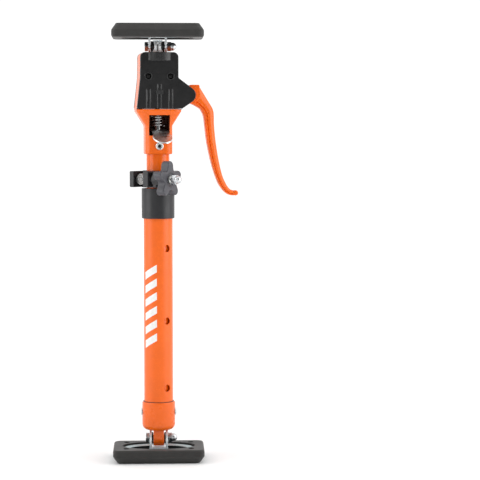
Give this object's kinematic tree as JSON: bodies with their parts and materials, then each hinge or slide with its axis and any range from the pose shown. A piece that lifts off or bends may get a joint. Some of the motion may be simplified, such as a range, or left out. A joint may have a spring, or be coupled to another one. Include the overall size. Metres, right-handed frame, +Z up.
{
  "type": "telescopic support pole",
  "caption": "Telescopic pole with clamp collar, trigger-driven push rod and tilting rubber pads at both ends, for propping boards and cabinets.",
  "frame": {"origin": "centre of the foot pad's ground face", "axes": "+Z up along the pole, +X to the trigger's side, -Y to the front"},
  "size_m": [0.1403, 0.0854, 0.484],
  "materials": {
    "pad_rubber": "matt moulded rubber",
    "zinc": "bright zinc plating",
    "black_steel": "blackened steel",
    "orange_paint": "semi-gloss orange powder coat",
    "orange_cast": "semi-gloss orange paint on castings",
    "black_plastic": "satin moulded plastic",
    "grey_plastic": "satin moulded plastic",
    "knob_plastic": "satin moulded plastic",
    "chrome": "bright plated nuts",
    "spring_steel": "drawn spring wire"
  },
  "bodies": {
    "foot": {"foot_pad": "pad_rubber", "foot_plate": "zinc", "foot_bracket": "zinc", "foot_pivot_bolt": "zinc", "foot_cap_nut": "chrome"},
    "lower_tube": {"foot_spacer_left": "black_plastic", "foot_spacer_right": "black_plastic", "foot_socket": "orange_cast", "socket_rivet": "zinc", "outer_tube": "orange_paint", "guide_bush": "black_plastic", "clamp_collar": "grey_plastic", "clamp_barrel_nut": "zinc"},
    "knob": {"clamp_knob": "knob_plastic", "knob_insert": "zinc", "clamp_bolt": "zinc", "clamp_cap_nut": "chrome"},
    "upper_tube": {"inner_tube": "orange_paint", "tube_plug": "black_plastic", "button_spring": "spring_steel", "head_housing": "orange_cast", "neck_rivet_front": "zinc", "neck_rivet_back": "zinc", "front_cover": "black_plastic", "back_cover": "black_plastic", "cover_screw_left": "black_steel", "cover_screw_right": "black_steel", "cover_nut_left": "zinc", "cover_nut_right": "zinc", "lower_rod_bush": "black_plastic", "upper_rod_bush": "black_plastic", "drive_spring": "spring_steel", "brake_spring": "spring_steel", "handle_pin": "spring_steel"},
    "button": {"snap_button": "zinc"},
    "trigger": {"handle": "orange_cast"},
    "drive": {"drive_plate": "zinc"},
    "release": {"release_plate": "zinc"},
    "rod": {"push_rod": "zinc", "rod_stop": "black_plastic", "rod_stop_pin": "spring_steel"},
    "lug": {"rod_lug": "zinc", "top_spacer_left": "black_plastic", "top_spacer_right": "black_plastic"},
    "top": {"top_pad": "pad_rubber", "top_plate": "zinc", "top_bracket": "zinc", "top_pivot_bolt": "zinc", "top_cap_nut": "chrome"}
  },
  "joints": [
    {"name": "foot_tilt", "type": "hinge", "parent": "foot", "child": "lower_tube", "pos_m": [0, 0, 0.0246], "axis": [1, 0, 0], "range_deg": [-45, 45]},
    {"name": "tube_slide", "type": "slide", "parent": "lower_tube", "child": "upper_tube", "axis": [0, 0, 1], "range_m": [0, 0.1554], "deforming": ["snap_button"]},
    {"name": "button_press", "type": "slide", "parent": "upper_tube", "child": "button", "axis": [0.6157, -0.788, 0], "range_m": [0, 0.0042], "stiffness_N_per_m": 800, "springref_m": -0.002, "deforming": ["button_spring"]},
    {"name": "knob_turn", "type": "hinge", "parent": "lower_tube", "child": "knob", "pos_m": [-0.01293, -0.0178, 0.3138], "axis": [0.809, -0.5878, 0], "range_deg": [0, 720]},
    {"name": "handle_squeeze", "type": "hinge", "parent": "upper_tube", "child": "trigger", "pos_m": [0.03136, 0.00385, 0.406], "axis": [-0.1219, 0.9925, 0], "range_deg": [0, 22], "stiffness_Nm_per_rad": 1.5, "springref_deg": -11.46},
    {"name": "drive_lift", "type": "slide", "parent": "upper_tube", "child": "drive", "axis": [0, 0, 1], "range_m": [0, 0.0095], "deforming": ["drive_spring"]},
    {"name": "release_lift", "type": "hinge", "parent": "upper_tube", "child": "release", "pos_m": [-0.00122, 0.00992, 0.3693], "axis": [-0.9925, -0.1219, 0], "range_deg": [0, 9], "stiffness_Nm_per_rad": 0.4, "springref_deg": -11.46, "deforming": ["brake_spring"]},
    {"name": "rod_slide", "type": "slide", "parent": "upper_tube", "child": "rod", "axis": [0, 0, 1], "range_m": [0, 0.13]},
    {"name": "pad_swivel", "type": "hinge", "parent": "rod", "child": "lug", "pos_m": [0, 0, 0.4534], "axis": [0, 0, 1], "continuous": true},
    {"name": "top_tilt", "type": "hinge", "parent": "lug", "child": "top", "pos_m": [0, 0, 0.4594], "axis": [1, 0, 0], "range_deg": [-40, 40]}
  ],
  "couplings": [
    {"joint": "drive_lift", "follows": "handle_squeeze", "m_per_rad": 0.0232}
  ]
}
